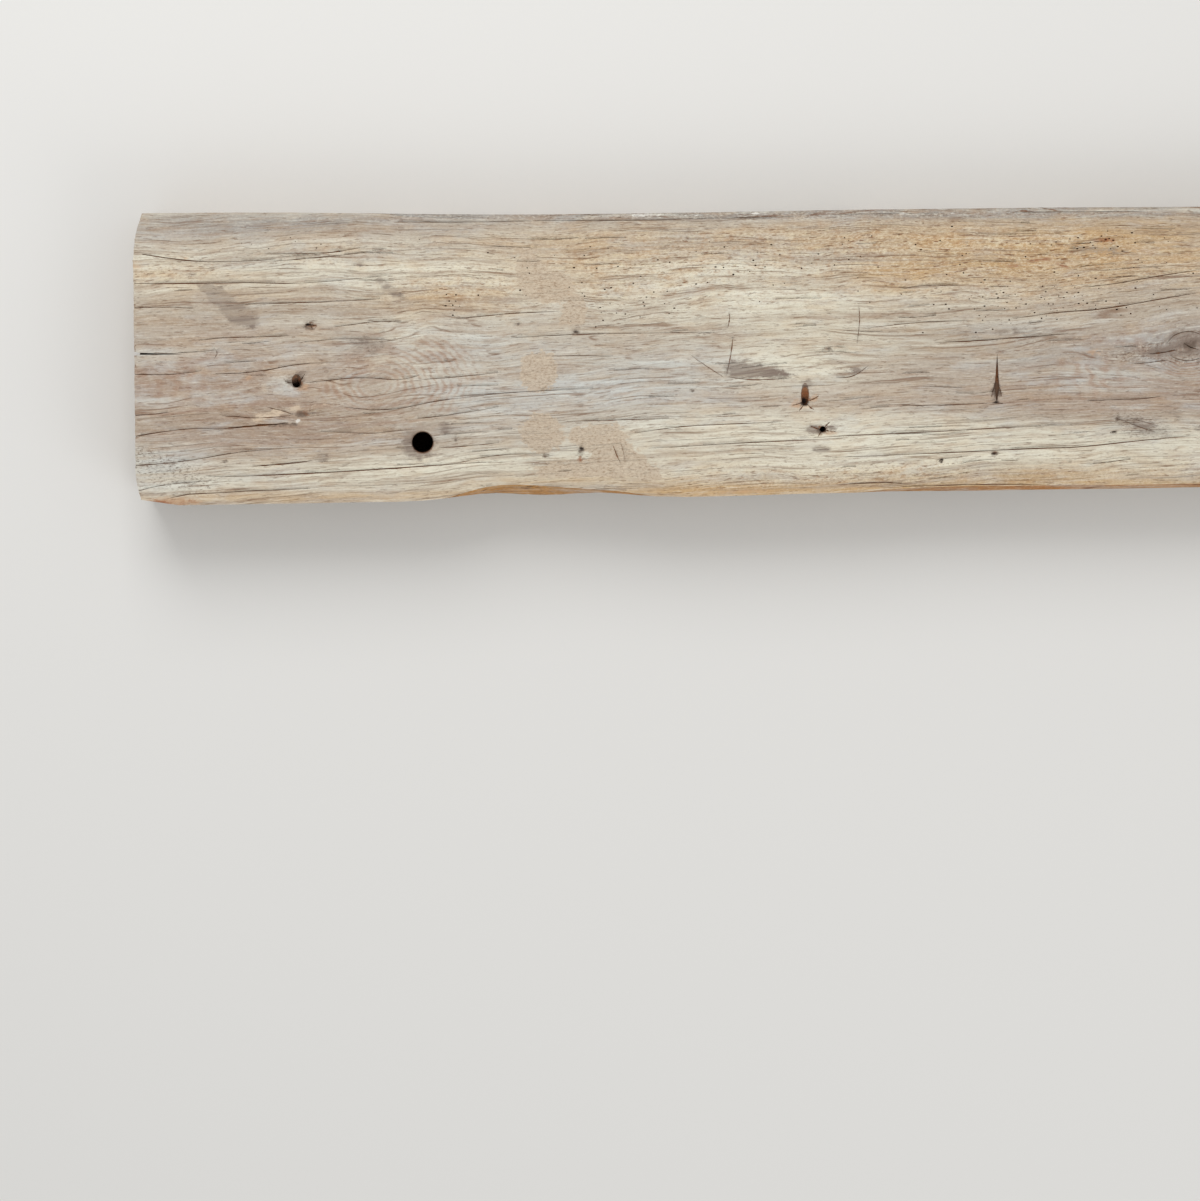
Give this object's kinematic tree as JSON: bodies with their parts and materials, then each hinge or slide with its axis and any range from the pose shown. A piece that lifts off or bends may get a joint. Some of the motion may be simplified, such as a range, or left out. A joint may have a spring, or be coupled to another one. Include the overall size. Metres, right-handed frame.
{
  "type": "timber plank",
  "caption": "Old sawn oak plank with a waney lower edge, a peg hole, nail holes and an end shake, lying flat.",
  "frame": {"origin": "middle of the back face, at the centre of the plank's box, on the surface that it lies on", "axes": "+X along the grain away from the chipped butt end, +Y across the face away from the waney edge, +Z out of the face"},
  "size_m": [2.4, 0.329, 0.1],
  "materials": {
    "timber": "bare weathered oak, sawn and brushed, greige with pale sapwood and ochre stains"
  },
  "bodies": {
    "root": {"plank": "timber"}
  },
  "joints": []
}
